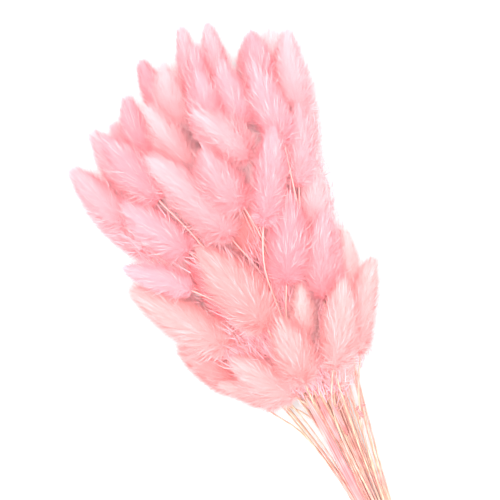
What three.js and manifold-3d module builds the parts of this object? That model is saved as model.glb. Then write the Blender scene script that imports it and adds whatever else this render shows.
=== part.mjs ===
// A tied bunch of dried bunny tail grass, dyed pink, lying on a table. Millimetres, +Z up.
// The bundle of stems runs along Y: the cut ends are at -Y and the furry heads fan out towards +Y.
// Each tail, a stem with the head that grew on it, is one piece. A rubber band holds the stems.
import * as THREE from "three";
import { mergeVertices } from "three/addons/utils/BufferGeometryUtils.js";
import Module from "manifold-3d";

const wasm = await Module();
wasm.setup();

// The stems
const STEM_WIDTH = 1.15;
const STEM_SIDES = 4;
const STEM_KNOTS = 10; // between the band and the head
const STEM_PITCH = 1.52; // from the middle of one stem to the next, inside the band
const CUT_END_REACH = 72; // from the band to the cut ends
const CUT_END_SPREAD = 12; // how unevenly the ends were cut
const CUT_END_FLARE = 1.6; // how much wider the bundle is at its cut ends than in the band
const NECK = 30; // the last stretch of a stem, which runs along its head's own direction
const NECK_SHARE = 0.33; // of the stem's length, where it is too short for a whole neck
const LEAVING_SHARE = 0.4; // the first stretch, which leaves the band almost straight
const STRAIGHTNESS = 0.75; // how straight it leaves, from 0, towards its head, to 1, along the bundle
const ROOT_IN_HEAD = 5; // how far the stem is sunk into its head

// The heads
const VALLEY_SHARE = 0.82; // the valleys between the tufts as a share of the tufts' reach
const TUFT_SIDES = 10;
const TUFT_RINGS = [0, 0.07, 0.2, 0.35, 0.5, 0.65, 0.8, 0.92, 1]; // shares of the head's length
const TUFT_LEAN = 0.05; // each tuft leans towards the tip by this share of the length
const HEAD_BOW = 0.06; // how far a head's middle strays from a straight line, as a share of its length
const WIDEST = [0.36, 0.46]; // where most heads are widest, as a share of the length
const TIP_FULLNESS = [0.54, 0.68]; // how full it is towards its tip: 1 is pointed, less is rounder
const BASE_FULLNESS = 0.46;
const HEAD_KNOTS = [0, 0.12, 0.3, 0.5, 0.7, 0.88, 1];

// The bunch
const HEAD_HUE = 0.96;
const HEAD_LIGHTNESS = [0.82, 0.87];
const LEAF_COLOUR = 0xf7b4bf;
const BAND_COLOUR = 0xe9d9c0;
const BUNCH_LEAN = THREE.MathUtils.degToRad(22); // the layout below leans this far to the left of the bundle
const BAND_HEIGHT = 13; // the middle of the bundle above the table, at the band
const BAND_TURNS = 3;
const BAND_THICK = 1.4;
const BAND_SIDES = 20;
const BAND_ARC = [-60, 0, 60].map(THREE.MathUtils.degToRad); // where the outline of one turn has its points
const CLEARANCE = 0.4; // between one tail and the next
const TABLE_SQUASH = 2.4; // how far the fur of the lowest heads is pressed flat by the table
const STEM_LIFT = 0.1; // the least that a stem is clear of the table between the band and its head
const MERGE_WITHIN = 1e-3;
const TINY = 1e-9;

// The heads that show from above, laid out as they lie, from the band: x to the right and y away from it.
// Each row: base x, y, tip x, y, furry width, height of the base and of the tip, and the share of its length
// at which it is widest, where that isn't in its lower part.
const SHOWN_HEADS = [
  // the fan on the left
  [-133.5, 166, -163, 195, 16.5, 33, 30],
  [-122.5, 151, -155, 176, 14.5, 18, 15],
  [-102, 153, -136, 178, 18.5, 41, 36],
  [-80, 160, -122, 201, 19, 52, 50],
  [-131, 180.5, -152, 213.5, 16, 27, 27],
  [-118, 177, -146, 210, 17.5, 41, 40],
  [-121, 194, -136, 231, 15, 31, 28],
  [-124, 187, -143, 218, 13, 15, 13],
  // the crown
  [-113, 216, -129, 250, 13.5, 22, 22],
  [-100, 205, -116, 247, 17, 36, 34],
  [-96, 186, -124, 225, 17, 46, 46],
  [-97, 216, -108, 268, 13, 24, 24],
  [-88.5, 226, -96, 269, 13, 32, 30],
  [-92, 210, -102, 256, 14, 42, 40],
  [-76, 212, -90, 246, 16, 42, 42],
  [-85, 209, -97, 239, 15.5, 52, 52],
  [-75, 197, -99, 221, 18, 46, 58],
  [-76, 175, -95, 203, 19, 50, 60],
  // the upright cluster on the right of the crown
  [-71, 224, -75, 261, 12, 26, 26],
  [-66, 225, -72, 263, 15.5, 42, 40],
  [-59, 224, -63.5, 265, 15, 26, 26],
  [-51, 219, -58, 264, 17, 40, 38],
  [-48, 197, -48, 250, 13.5, 24, 24],
  [-57, 204, -74, 244, 16, 52, 52],
  [-57.5, 180, -59.5, 227, 17.5, 35, 37],
  [-69, 164, -63, 215, 15, 58, 56, 0.54],
  [-71, 183, -75, 231, 19, 36, 36],
  [-50.5, 184, -51, 227, 15, 44, 44],
  // the right side, down to the stems
  [-43, 161, -47, 200, 15.5, 30, 30],
  [-55, 136, -55, 181, 18, 48, 50],
  [-37, 128, -39, 172, 19, 44, 42],
  [-23, 112, -27, 167.5, 12, 27, 26],
  [-19, 100, -12.5, 152, 14.5, 36, 34, 0.5],
  [-33, 93, -28, 138, 17, 46, 46],
  [-46, 107, -49, 135, 13.5, 42, 50],
  [-46, 87, -58, 117, 19, 42, 52, 0.5],
  [-32, 84, -31, 115, 17, 26, 26, 0.5],
  // the left side, down to the stems
  [-101, 134, -137, 146, 13, 44, 42],
  [-81, 104, -133.5, 135, 20.5, 32, 30],
  [-64, 114, -96, 152, 23, 50, 52],
  [-80, 119, -102, 148, 15, 30, 28],
  [-50, 81, -81, 99, 19, 36, 36],
  [-73, 85, -109, 105.5, 17, 18, 14],
  [-57, 78, -89, 88, 13, 20, 16],
  [-52, 88, -81, 113, 17, 20, 20],
];

// The heads underneath show only through the gaps: base x, y, tip x, y, furry width, and the height of the
// base and of the tip, where they don't lie on the table.
const HIDDEN_HEADS = [
  [-103, 176, -125, 214, 23],
  [-87, 198, -104, 240, 22],
  [-72, 190, -86, 230, 23, 30, 30],
  [-54, 196, -65, 242, 21],
  [-91, 158, -122, 188, 23, 22, 22],
  [-68, 148, -92, 190, 24, 28, 28],
  [-47, 156, -54, 205, 23, 26, 26],
  [-82, 128, -114, 156, 23, 24, 22],
  [-52, 110, -78, 150, 24],
  [-38, 122, -49, 166, 22],
];

// One stem bows out on its own: its head's place in the list above, and the points x, y, z it passes.
const STRAY_STEM = { head: 42, through: [[-28, 37, 10], [-41.5, 54, 9], [-55.5, 66, 8], [-69, 74, 9]] };

// Dry leaves on top of the stems: where each lies in the layout, and how wide it is.
const LEAVES = [
  { line: [[-47, 83], [-38, 67], [-28, 48], [-20, 32], [-12, 18], [-5, 6]], width: 4.2 },
  { line: [[-40, 82], [-35, 71], [-29, 59]], width: 3 },
  { line: [[-34, 80], [-30, 72], [-25, 62]], width: 2.4 },
  { line: [[-25, 47], [-21, 36], [-14, 24], [-6, 12]], width: 3 },
];
const LEAF_THICK = 0.7;
const LEAF_STEPS = 10;
const LEAF_KEEL = 0.25; // how much the middle of a leaf stands above its edges, as a share of its width
const LEAF_TAPER = 0.4; // how early a leaf narrows towards its ends: 1 is early, 0 is not at all
const LEAF_PASSES = 200; // of smoothing the leaf's line over the stems that carry it

const UP = new THREE.Vector3(0, 0, 1);
const OUT = new THREE.Vector3(0, 1, 0);

// A seeded random number from 0 to 1, the same on every run.
function seeded(seed) {
  let state = seed;
  return () => {
    state = (state + 0x6d2b79f5) | 0;
    let t = Math.imul(state ^ (state >>> 15), 1 | state);
    t = (t + Math.imul(t ^ (t >>> 7), 61 | t)) ^ t;
    return ((t ^ (t >>> 14)) >>> 0) / 4294967296;
  };
}
const random = seeded(7);

// How plump a head is along its length, from 0 at its base to 1 where it is widest and 0 at its tip.
function plump({ widest, fullness }, share) {
  const full = share < widest ? BASE_FULLNESS : fullness;
  return Math.sin(Math.PI * share ** (Math.log(0.5) / Math.log(widest))) ** full;
}

// From the layout to the bundle's own frame.
function turned(x, y, z) {
  return new THREE.Vector3(x, y, z).applyAxisAngle(UP, -BUNCH_LEAN);
}

function tailFrom([baseX, baseY, tipX, tipY, width, baseZ, tipZ, widestAt]) {
  const onTable = width / 2 - TABLE_SQUASH;
  const base = turned(baseX, baseY, baseZ ?? onTable);
  const tip = turned(tipX, tipY, tipZ ?? onTable);
  const widest = widestAt ?? THREE.MathUtils.lerp(...WIDEST, random());
  const fullness = THREE.MathUtils.lerp(...TIP_FULLNESS, random());
  return { base, tip, width, widest, fullness };
}

// Places in the band, packed like pencils in a hand, the nearest to the middle first.
function slots(count) {
  const rowHeight = (STEM_PITCH * Math.sqrt(3)) / 2;
  const reach = Math.ceil(Math.sqrt(count));
  const places = [];
  for (let row = -reach; row <= reach; row++)
    for (let column = -reach; column <= reach; column++) {
      const shift = row % 2 ? 0.5 : 0;
      places.push(new THREE.Vector2((column + shift) * STEM_PITCH, row * rowHeight));
    }
  return places.sort((a, b) => a.length() - b.length()).slice(0, count);
}

// Each stem takes the place in the band that lies on its head's side, as far as the others leave it free:
// places are swapped until no swap brings two stems closer to where they want to be.
function giveSlots(tails) {
  const places = slots(tails.length);
  const aims = tails.map(({ base }) => new THREE.Vector2(base.x, base.z - BAND_HEIGHT).divideScalar(base.y));
  const mean = aims.reduce((sum, aim) => sum.add(aim), new THREE.Vector2()).divideScalar(aims.length);
  aims.forEach((aim) => aim.sub(mean));
  const widest = Math.max(...aims.map((aim) => Math.abs(aim.x)));
  const steepest = Math.max(...aims.map((aim) => Math.abs(aim.y)));
  const bundle = places.at(-1).length();
  aims.forEach((aim) => aim.set((aim.x / widest) * bundle, (aim.y / steepest) * bundle));
  let swapped = true;
  while (swapped) {
    swapped = false;
    for (let i = 0; i < aims.length; i++)
      for (let j = i + 1; j < aims.length; j++) {
        const now = aims[i].distanceToSquared(places[i]) + aims[j].distanceToSquared(places[j]);
        const then = aims[i].distanceToSquared(places[j]) + aims[j].distanceToSquared(places[i]);
        if (then > now - TINY) continue;
        [places[i], places[j]] = [places[j], places[i]];
        swapped = true;
      }
  }
  tails.forEach((tail, i) => (tail.slot = places[i]));
}

// The middle line of a head: almost straight, with a small bow to one side.
function headPoint(tail, share) {
  return tail.base.clone().lerp(tail.tip, share).addScaledVector(tail.bow, Math.sin(Math.PI * share));
}

// A stem's first line, from its place in the band to its head, which it enters along the head's own line.
function layStem(tail) {
  const start = new THREE.Vector3(tail.slot.x, BAND_TURNS * BAND_THICK, BAND_HEIGHT + tail.slot.y);
  const span = tail.base.distanceTo(start);
  const way = tail.tip.clone().sub(tail.base).normalize();
  const leaving = tail.base.clone().sub(start).normalize().lerp(OUT, STRAIGHTNESS).normalize();
  const line = new THREE.CubicBezierCurve3(
    start,
    start.clone().addScaledVector(leaving, span * LEAVING_SHARE),
    tail.base.clone().addScaledVector(way, -Math.min(span * NECK_SHARE, NECK)),
    tail.base,
  );
  const stray = new THREE.CatmullRomCurve3([start, ...(tail.through ?? []), tail.base], false, "centripetal");
  tail.stem = (tail.through ? stray : line).getSpacedPoints(STEM_KNOTS);
  tail.bend = tail.stem.map((at, i) => {
    const [before, after] = [tail.stem[i - 1] ?? at, tail.stem[i + 1] ?? at];
    return at.clone().sub(before.clone().lerp(after, 0.5));
  });
}

// Closest points of two straight pieces: the share of the way along each, and the gap between them.
const along = new THREE.Vector3();
const across = new THREE.Vector3();
const between = new THREE.Vector3();
function closest(a, b) {
  along.subVectors(a.end.at, a.start.at);
  across.subVectors(b.end.at, b.start.at);
  between.subVectors(a.start.at, b.start.at);
  const aa = along.dot(along);
  const ab = along.dot(across);
  const bb = across.dot(across);
  const ag = along.dot(between);
  const bg = across.dot(between);
  const spread = aa * bb - ab * ab;
  let s = spread > TINY ? THREE.MathUtils.clamp((ab * bg - bb * ag) / spread, 0, 1) : 0.5;
  const t = THREE.MathUtils.clamp((ab * s + bg) / bb, 0, 1);
  s = THREE.MathUtils.clamp((ab * t - ag) / aa, 0, 1);
  const gap = between.clone().addScaledVector(along, s).addScaledVector(across, -t);
  return { s, t, gap };
}

// Every tail is a chain of knots, each with the radius of the tail there.
function chainOf(tail) {
  const stem = tail.stem.map((at) => ({ at, radius: STEM_WIDTH / 2, head: false }));
  const reach = tail.width / 2;
  const head = HEAD_KNOTS.map((share) => ({
    at: headPoint(tail, share),
    radius: Math.max(reach * plump(tail, share), STEM_WIDTH / 2),
    head: true,
  }));
  const knots = [...stem.slice(0, -1), ...head];
  const links = knots.slice(1).map((end, i) => ({ tail, start: knots[i], end, head: knots[i].head }));
  return { knots, links };
}

// How the tails settle: they are springy at first, then only push, so that none is left touching another.
const SETTLE_PASSES = 300;
const SPRINGY_SHARE = 0.7; // of the passes
const PUSH_STEP = 0.6; // of the overlap, in one pass
const HEAD_YIELD = 0.08; // how much a head gives way to a stem, which does the rest
const STACKING = 0.35; // how strongly a head goes over or under its neighbour rather than beside it
const STEM_DIVE = 0.4; // how strongly a stem goes under the upper heads, and over the lower ones
const LOWER_HEADS = 22; // heads whose middle is below this height are lower ones
const PLACE_PULL = 0.3;
const HEIGHT_PULL = 0.06;
const NECK_PULL = 0.2;
const STEM_SPRING = 0.45;
const LAST_SPRING = 0.01;

// Tails that touch push each other apart until all lie clear. Heads keep their place in the layout and mostly
// move up or down, in the order in which they are stacked. Stems bend round whatever is in their way.
function settle(tails) {
  for (const tail of tails) {
    Object.assign(tail, chainOf(tail));
    tail.homeBase = tail.base.clone();
    tail.homeTip = tail.tip.clone();
    tail.rank = (tail.base.z + tail.tip.z) / 2;
  }
  const links = tails.flatMap((tail) => tail.links);
  for (let pass = 0; pass < SETTLE_PASSES; pass++) {
    const ease = Math.max(0, 1 - pass / (SETTLE_PASSES * SPRINGY_SHARE));
    for (const link of links) {
      link.middle = link.start.at.clone().lerp(link.end.at, 0.5);
      link.reach = link.start.at.distanceTo(link.end.at) / 2 + Math.max(link.start.radius, link.end.radius);
    }
    for (let i = 0; i < links.length; i++)
      for (let j = i + 1; j < links.length; j++) {
        const a = links[i];
        const b = links[j];
        if (a.tail === b.tail) continue;
        const near = a.reach + b.reach + CLEARANCE;
        if (a.middle.distanceToSquared(b.middle) > near * near) continue;
        pushApart(a, b);
      }
    for (const tail of tails) relax(tail, ease);
  }
}

function pushApart(a, b) {
  const { s, t, gap } = closest(a, b);
  const radiusA = THREE.MathUtils.lerp(a.start.radius, a.end.radius, s);
  const radiusB = THREE.MathUtils.lerp(b.start.radius, b.end.radius, t);
  const short = radiusA + radiusB + CLEARANCE - gap.length();
  if (short <= 0) return;
  const push = gap.normalize();
  if (a.head && b.head) {
    const above = a.tail.rank > b.tail.rank ? 1 : -1;
    push.set(push.x * STACKING, push.y * STACKING, above * Math.max(Math.abs(push.z), STACKING)).normalize();
  } else if (a.head !== b.head) {
    const upper = (a.head ? a : b).tail.rank > LOWER_HEADS;
    push.z += a.head === upper ? STEM_DIVE : -STEM_DIVE;
    push.normalize();
  }
  let shareA = 0.5;
  if (a.head !== b.head) shareA = a.head ? HEAD_YIELD : 1 - HEAD_YIELD;
  const step = short * PUSH_STEP;
  a.start.at.addScaledVector(push, step * shareA * (1 - s));
  a.end.at.addScaledVector(push, step * shareA * s);
  b.start.at.addScaledVector(push, -step * (1 - shareA) * (1 - t));
  b.end.at.addScaledVector(push, -step * (1 - shareA) * t);
}

// A head stays stiff and near its place, and rests on the table. A stem is springy.
function relax(tail, ease) {
  const head = tail.knots.filter((knot) => knot.head);
  const mean = new THREE.Vector3();
  const trend = new THREE.Vector3();
  let spread = 0;
  head.forEach((knot, i) => {
    const share = HEAD_KNOTS[i] - 0.5;
    const flat = knot.at.clone().addScaledVector(tail.bow, -Math.sin(Math.PI * HEAD_KNOTS[i]));
    mean.add(flat);
    trend.addScaledVector(flat, share);
    spread += share * share;
  });
  mean.divideScalar(head.length);
  trend.divideScalar(spread);
  tail.base.copy(mean).addScaledVector(trend, -0.5);
  tail.tip.copy(mean).addScaledVector(trend, 0.5);
  for (const [end, home] of [[tail.base, tail.homeBase], [tail.tip, tail.homeTip]]) {
    end.x += (home.x - end.x) * PLACE_PULL * ease;
    end.y += (home.y - end.y) * PLACE_PULL * ease;
    end.z += (home.z - end.z) * HEIGHT_PULL * ease;
  }
  head.forEach((knot, i) => knot.at.copy(headPoint(tail, HEAD_KNOTS[i])));
  const sunk = Math.max(...head.map((knot) => knot.radius - TABLE_SQUASH - knot.at.z));
  if (sunk > 0) {
    tail.base.z += sunk;
    tail.tip.z += sunk;
    head.forEach((knot) => (knot.at.z += sunk));
  }
  const { knots } = tail;
  const way = tail.tip.clone().sub(tail.base).normalize();
  const last = STEM_KNOTS - 1;
  const spacing = knots[last].at.distanceTo(tail.base);
  const straight = tail.base.clone().addScaledVector(way, -spacing);
  knots[last].at.lerp(straight, NECK_PULL * ease);
  for (let i = 1; i <= last; i++) {
    const sprung = knots[i - 1].at.clone().lerp(knots[i + 1].at, 0.5).add(tail.bend[i]);
    knots[i].at.lerp(sprung, LAST_SPRING + STEM_SPRING * ease);
    knots[i].at.z = Math.max(knots[i].at.z, STEM_WIDTH / 2 + STEM_LIFT);
  }
  knots[0].at.set(tail.slot.x, BAND_TURNS * BAND_THICK, BAND_HEIGHT + tail.slot.y);
}

function solidOf(geometry) {
  for (const name of ["normal", "uv"]) geometry.deleteAttribute(name);
  const merged = mergeVertices(geometry, MERGE_WITHIN);
  const mesh = new wasm.Mesh({
    numProp: 3,
    vertProperties: new Float32Array(merged.attributes.position.array),
    triVerts: new Uint32Array(merged.index.array),
  });
  return new wasm.Manifold(mesh);
}

function geometryOf(solid) {
  const { vertProperties, triVerts } = solid.getMesh();
  const geometry = new THREE.BufferGeometry();
  geometry.setAttribute("position", new THREE.BufferAttribute(vertProperties, 3));
  geometry.setIndex(new THREE.BufferAttribute(triVerts, 1));
  return geometry;
}

// Joins the valleys, not the tufts, across each four-sided patch of the lathe, so that every tuft is a peak.
function turnDiagonals(geometry) {
  const rings = TUFT_RINGS.length;
  const index = [];
  for (let side = 0; side < TUFT_SIDES; side++)
    for (let ring = 0; ring < rings - 1; ring++) {
      const a = side * rings + ring;
      const [b, c, d] = [a + rings, a + rings + 1, a + 1];
      if ((side + ring) % 2 === 0) index.push(a, b, d, c, d, b);
      else index.push(a, b, c, a, c, d);
    }
  geometry.setIndex(index);
}

// A head is a lathe shape with rows of tufts: every other point stands out and leans towards the tip.
function headGeometry(tail) {
  const length = tail.base.distanceTo(tail.tip);
  const reach = tail.width / 2;
  const profile = TUFT_RINGS.map((share) => new THREE.Vector2(share > 0 && share < 1 ? 1 : 0, share));
  const geometry = new THREE.LatheGeometry(profile, TUFT_SIDES);
  turnDiagonals(geometry);
  const way = tail.tip.clone().sub(tail.base).normalize();
  const turn = new THREE.Quaternion().setFromUnitVectors(OUT, way);
  const place = geometry.attributes.position;
  const point = new THREE.Vector3();
  for (let i = 0; i < place.count; i++) {
    point.fromBufferAttribute(place, i);
    const side = Math.floor(i / TUFT_RINGS.length);
    const ring = i % TUFT_RINGS.length;
    const tuft = (side + ring) % 2 === 0;
    const onAxis = ring === 0 || ring === TUFT_RINGS.length - 1;
    const share = onAxis ? point.y : point.y + (tuft ? TUFT_LEAN : 0);
    const radius = onAxis ? 0 : reach * plump(tail, TUFT_RINGS[ring]) * (tuft ? 1 : VALLEY_SHARE);
    const spoke = new THREE.Vector3(point.x, 0, point.z).multiplyScalar(radius).applyQuaternion(turn);
    point.copy(headPoint(tail, share)).add(spoke);
    place.setXYZ(i, point.x, point.y, point.z);
  }
  return geometry;
}

// A line whose even steps are its own knots, so that a stem's sections lie exactly where it was settled.
class KnotLine extends THREE.CatmullRomCurve3 {
  getPointAt(share, target) {
    return this.getPoint(share, target);
  }
  getTangentAt(share, target) {
    return this.getTangent(share, target);
  }
}

// The whole stem, from its cut end through the band to inside the head.
function stemGeometry(tail) {
  const half = BAND_TURNS * BAND_THICK;
  const cutY = -CUT_END_REACH - (random() - 0.5) * CUT_END_SPREAD;
  const lowest = Math.min(...tails.map((other) => other.slot.y)) * CUT_END_FLARE - STEM_WIDTH / 2;
  const cutEnd = new THREE.Vector3(tail.slot.x, 0, tail.slot.y).multiplyScalar(CUT_END_FLARE);
  cutEnd.set(cutEnd.x, cutY, cutEnd.z - lowest);
  const behind = new THREE.Vector3(tail.slot.x, -half, BAND_HEIGHT + tail.slot.y);
  const inHead = headPoint(tail, ROOT_IN_HEAD / tail.base.distanceTo(tail.tip));
  const settled = tail.knots.slice(0, STEM_KNOTS).map((knot) => knot.at);
  const points = [cutEnd, behind, ...settled, tail.base, inHead];
  const section = new THREE.Shape();
  for (let side = 0; side < STEM_SIDES; side++) {
    const angle = (side / STEM_SIDES) * 2 * Math.PI;
    const x = (STEM_WIDTH / 2) * Math.cos(angle);
    const y = (STEM_WIDTH / 2) * Math.sin(angle);
    if (side === 0) section.moveTo(x, y);
    else section.lineTo(x, y);
  }
  section.closePath();
  return new THREE.ExtrudeGeometry(section, { steps: points.length - 1, extrudePath: new KnotLine(points) });
}

// The rubber band: a ring of round turns side by side, closed against the outermost stems.
function bandGeometry(bundleRadius) {
  const inner = bundleRadius + CLEARANCE;
  const profile = [new THREE.Vector2(inner, (-BAND_TURNS * BAND_THICK) / 2)];
  for (let turn = 0; turn < BAND_TURNS; turn++)
    for (const angle of BAND_ARC) {
      const middle = (turn + 0.5 - BAND_TURNS / 2) * BAND_THICK;
      const out = inner + BAND_THICK / 2 + (BAND_THICK / 2) * Math.cos(angle);
      profile.push(new THREE.Vector2(out, middle + (BAND_THICK / 2) * Math.sin(angle)));
    }
  profile.push(new THREE.Vector2(inner, (BAND_TURNS * BAND_THICK) / 2), profile[0].clone());
  return new THREE.LatheGeometry(profile, BAND_SIDES).translate(0, 0, BAND_HEIGHT);
}

// How high the stems reach under a place on a leaf, within its half width.
function stemTop(place, halfWidth) {
  let top = 0;
  for (const tail of tails)
    for (const { start, end, head } of tail.links) {
      if (head) continue;
      const line = new THREE.Line3(start.at.clone().setZ(0), end.at.clone().setZ(0));
      const share = line.closestPointToPointParameter(place, true);
      const reach = halfWidth + STEM_WIDTH / 2 + CLEARANCE;
      if (line.at(share, new THREE.Vector3()).distanceTo(place) > reach) continue;
      top = Math.max(top, THREE.MathUtils.lerp(start.at.z, end.at.z, share) + STEM_WIDTH / 2);
    }
  return top;
}

// A leaf is a thin strip, pointed at both ends, that rests like a stiff ribbon on the highest stems under it.
function leafGeometry({ line, width }) {
  const plan = new THREE.CatmullRomCurve3(line.map(([x, y]) => turned(x, y, 0)), false, "centripetal");
  const stations = plan.getSpacedPoints(LEAF_STEPS);
  const heights = stations.map((place) => stemTop(place, width / 2) + CLEARANCE + LEAF_THICK / 2);
  for (let pass = 0; pass < LEAF_PASSES; pass++)
    for (let i = 1; i < LEAF_STEPS; i++)
      heights[i] = Math.max(heights[i], (heights[i - 1] + heights[i + 1]) / 2);
  const geometry = new THREE.BoxGeometry(1, 1, 1, 2, LEAF_STEPS, 1);
  const place = geometry.attributes.position;
  for (let i = 0; i < place.count; i++) {
    const share = place.getY(i) + 0.5;
    const step = Math.round(share * LEAF_STEPS);
    const side = plan.getTangentAt(share).cross(UP);
    const half = Math.max(width * Math.sin(Math.PI * share) ** LEAF_TAPER, LEAF_THICK);
    const point = stations[step].clone().addScaledVector(side, place.getX(i) * half);
    const keel = LEAF_KEEL * (0.5 - Math.abs(place.getX(i))) * half;
    place.setXYZ(i, point.x, point.y, heights[step] + keel + place.getZ(i) * LEAF_THICK);
  }
  return geometry;
}

const tails = [...SHOWN_HEADS, ...HIDDEN_HEADS].map(tailFrom);
tails[STRAY_STEM.head].through = STRAY_STEM.through.map(([x, y, z]) => turned(x, y, z));
giveSlots(tails);
for (const tail of tails) {
  const length = tail.base.distanceTo(tail.tip);
  tail.bow = new THREE.Vector3(random() - 0.5, random() - 0.5, 0).setLength(length * HEAD_BOW * random());
  layStem(tail);
}
settle(tails);

const bunch = new THREE.Group();
tails.forEach((tail, i) => {
  const grown = solidOf(headGeometry(tail)).add(solidOf(stemGeometry(tail))).trimByPlane([0, 0, 1], 0);
  const lightness = THREE.MathUtils.lerp(...HEAD_LIGHTNESS, random());
  const color = new THREE.Color().setHSL(HEAD_HUE, 0.75, lightness);
  const mesh = new THREE.Mesh(geometryOf(grown), new THREE.MeshStandardMaterial({ color, roughness: 0.95 }));
  mesh.name = `tail_${String(i + 1).padStart(2, "0")}`;
  bunch.add(mesh);
});

const bundleRadius = Math.max(...tails.map((tail) => tail.slot.length())) + STEM_WIDTH / 2;
const rubber = new THREE.MeshStandardMaterial({ color: BAND_COLOUR, roughness: 0.6 });
const tie = new THREE.Mesh(bandGeometry(bundleRadius), rubber);
tie.name = "tie";
bunch.add(tie);

LEAVES.forEach((leaf, i) => {
  const dryLeaf = new THREE.MeshStandardMaterial({ color: LEAF_COLOUR, roughness: 0.8 });
  const mesh = new THREE.Mesh(leafGeometry(leaf), dryLeaf);
  mesh.name = `leaf_${i + 1}`;
  bunch.add(mesh);
});

// The origin is on the table, under the middle of the whole bunch.
const box = new THREE.Box3().setFromObject(bunch);
const middle = box.getCenter(new THREE.Vector3());
bunch.position.set(-middle.x, -middle.y, -box.min.z);

export default bunch;
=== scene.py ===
"""A tied bunch of dried bunny tail grass, dyed pink, lying on a table and seen from above."""
import math

import bpy
import numpy as np
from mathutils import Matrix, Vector


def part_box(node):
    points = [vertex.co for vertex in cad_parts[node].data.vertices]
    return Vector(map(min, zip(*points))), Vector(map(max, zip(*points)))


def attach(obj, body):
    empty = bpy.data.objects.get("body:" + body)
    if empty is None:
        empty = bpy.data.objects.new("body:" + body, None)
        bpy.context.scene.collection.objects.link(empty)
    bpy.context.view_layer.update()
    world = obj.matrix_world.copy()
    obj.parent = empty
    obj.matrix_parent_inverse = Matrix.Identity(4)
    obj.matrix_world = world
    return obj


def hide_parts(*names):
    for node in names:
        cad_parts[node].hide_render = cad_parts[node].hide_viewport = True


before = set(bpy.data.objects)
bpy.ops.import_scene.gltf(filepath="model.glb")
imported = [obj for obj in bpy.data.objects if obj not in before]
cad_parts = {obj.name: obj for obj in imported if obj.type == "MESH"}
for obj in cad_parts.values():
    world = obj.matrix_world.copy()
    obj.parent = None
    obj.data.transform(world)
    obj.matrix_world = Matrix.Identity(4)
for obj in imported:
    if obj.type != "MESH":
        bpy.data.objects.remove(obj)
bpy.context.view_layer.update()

# The stems
# Each head stands on one thin straw, hollow and round, which was cut with scissors and dyed together with
# the head. The dye took unevenly, so the straw keeps its own cream colour in streaks. Dark tan streaks along
# it are partly the straw's own and partly painted shade for the darker edges of a round straw.
STEM_RADIUS = 0.00052
STEM_TIP_RADIUS = 0.00042  # where it enters the head
STEM_SIDES = 7
STEM_STEP = 0.0055  # between two sections of a stem
STEM_IN_HEAD = 0.006
STEM_HOLLOW = 0.6  # the hole's share of the radius, at the cut end
STEM_HOLLOW_DEPTH = 0.0015
JOINT_SPACING = (0.07, 0.13)  # between the swollen joints of a straw
JOINT_SWELL = 0.3
JOINT_LENGTH = 0.0016
HEAD_REACH = 0.0016  # a ring of points wider than this belongs to the head
LYING_BELOW = 1e-5  # an edge lower than this is in the underside that lies on the table
LINE_FINENESS = 12  # points from one knot of a line to the next, before they are spaced evenly

STRAW_CREAM = (0.63, 0.47, 0.35)
STRAW_PINK = (0.72, 0.37, 0.34)
# dark streaks: partly the straw's own, partly painted shade for a round straw's darker edges
STRAW_TAN_AND_EDGE_SHADE = (0.34, 0.12, 0.07)
STRAW_NECK = (0.97, 0.36, 0.34)  # below the head, where the dye ran down
STRAW_STREAKS = 5.0  # round a straw
STRAW_STREAK_CHANGES = 60.0  # along it
STRAW_STREAK_AND_SHADE_DEPTH = 0.6
STRAW_MAP_WIDTH = 0.87  # what the way round a straw takes of the map that its colours follow
LONGEST_STEM = 0.38  # at this way from its cut end a straw reaches the far edge of the map
NECK_DYE_FROM = 0.52  # on the map, where the neck's dye starts
NECK_DYE_FULL = 0.62
NECK_DYE_DEPTH = 0.9

DYE_BLOTCHES = 55.0  # in a metre
DYE_EDGES = (0.42, 0.6)  # of the noise, below which there is no dye and above which it is full
STREAK_EDGES = (0.4, 0.62)


def points_and_edges(mesh):
    """A mesh's points, and the numbers of the two points of each of its edges."""
    places = np.empty(3 * len(mesh.vertices))
    mesh.vertices.foreach_get("co", places)
    pairs = np.empty(2 * len(mesh.edges), int)
    mesh.edges.foreach_get("vertices", pairs)
    return places.reshape(-1, 3), pairs.reshape(-1, 2)


def rings_from_tip(node):
    """The rings of points of a tail, from the tip of its head to the cut end: their middles and reaches."""
    places, pairs = points_and_edges(node.data)
    points, which = np.unique(places.round(6), axis=0, return_inverse=True)
    pairs = which.ravel()[pairs]
    lying = (points[pairs, 2] < LYING_BELOW).all(1)
    neighbours = [set() for _ in points]
    for a, b in pairs[~lying]:
        neighbours[a].add(int(b))
        neighbours[b].add(int(a))

    def steps_from(start):
        steps = np.full(len(points), -1)
        steps[start] = 0
        rim = [int(start)]
        while rim:
            reached = {b for a in rim for b in neighbours[a] if steps[b] < 0}
            for b in reached:
                steps[b] = steps[rim[0]] + 1
            rim = list(reached)
        return steps

    # The tip is the point that takes the most steps to reach from the cut end.
    tip = steps_from(points[:, 1].argmin()).argmax()
    steps = steps_from(tip)
    rings = [points[steps == step] for step in range(steps.max() + 1)]
    middles = np.array([ring.mean(0) for ring in rings])
    reaches = np.array([np.linalg.norm(ring - ring.mean(0), axis=1).max() for ring in rings])
    return middles, reaches


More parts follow.
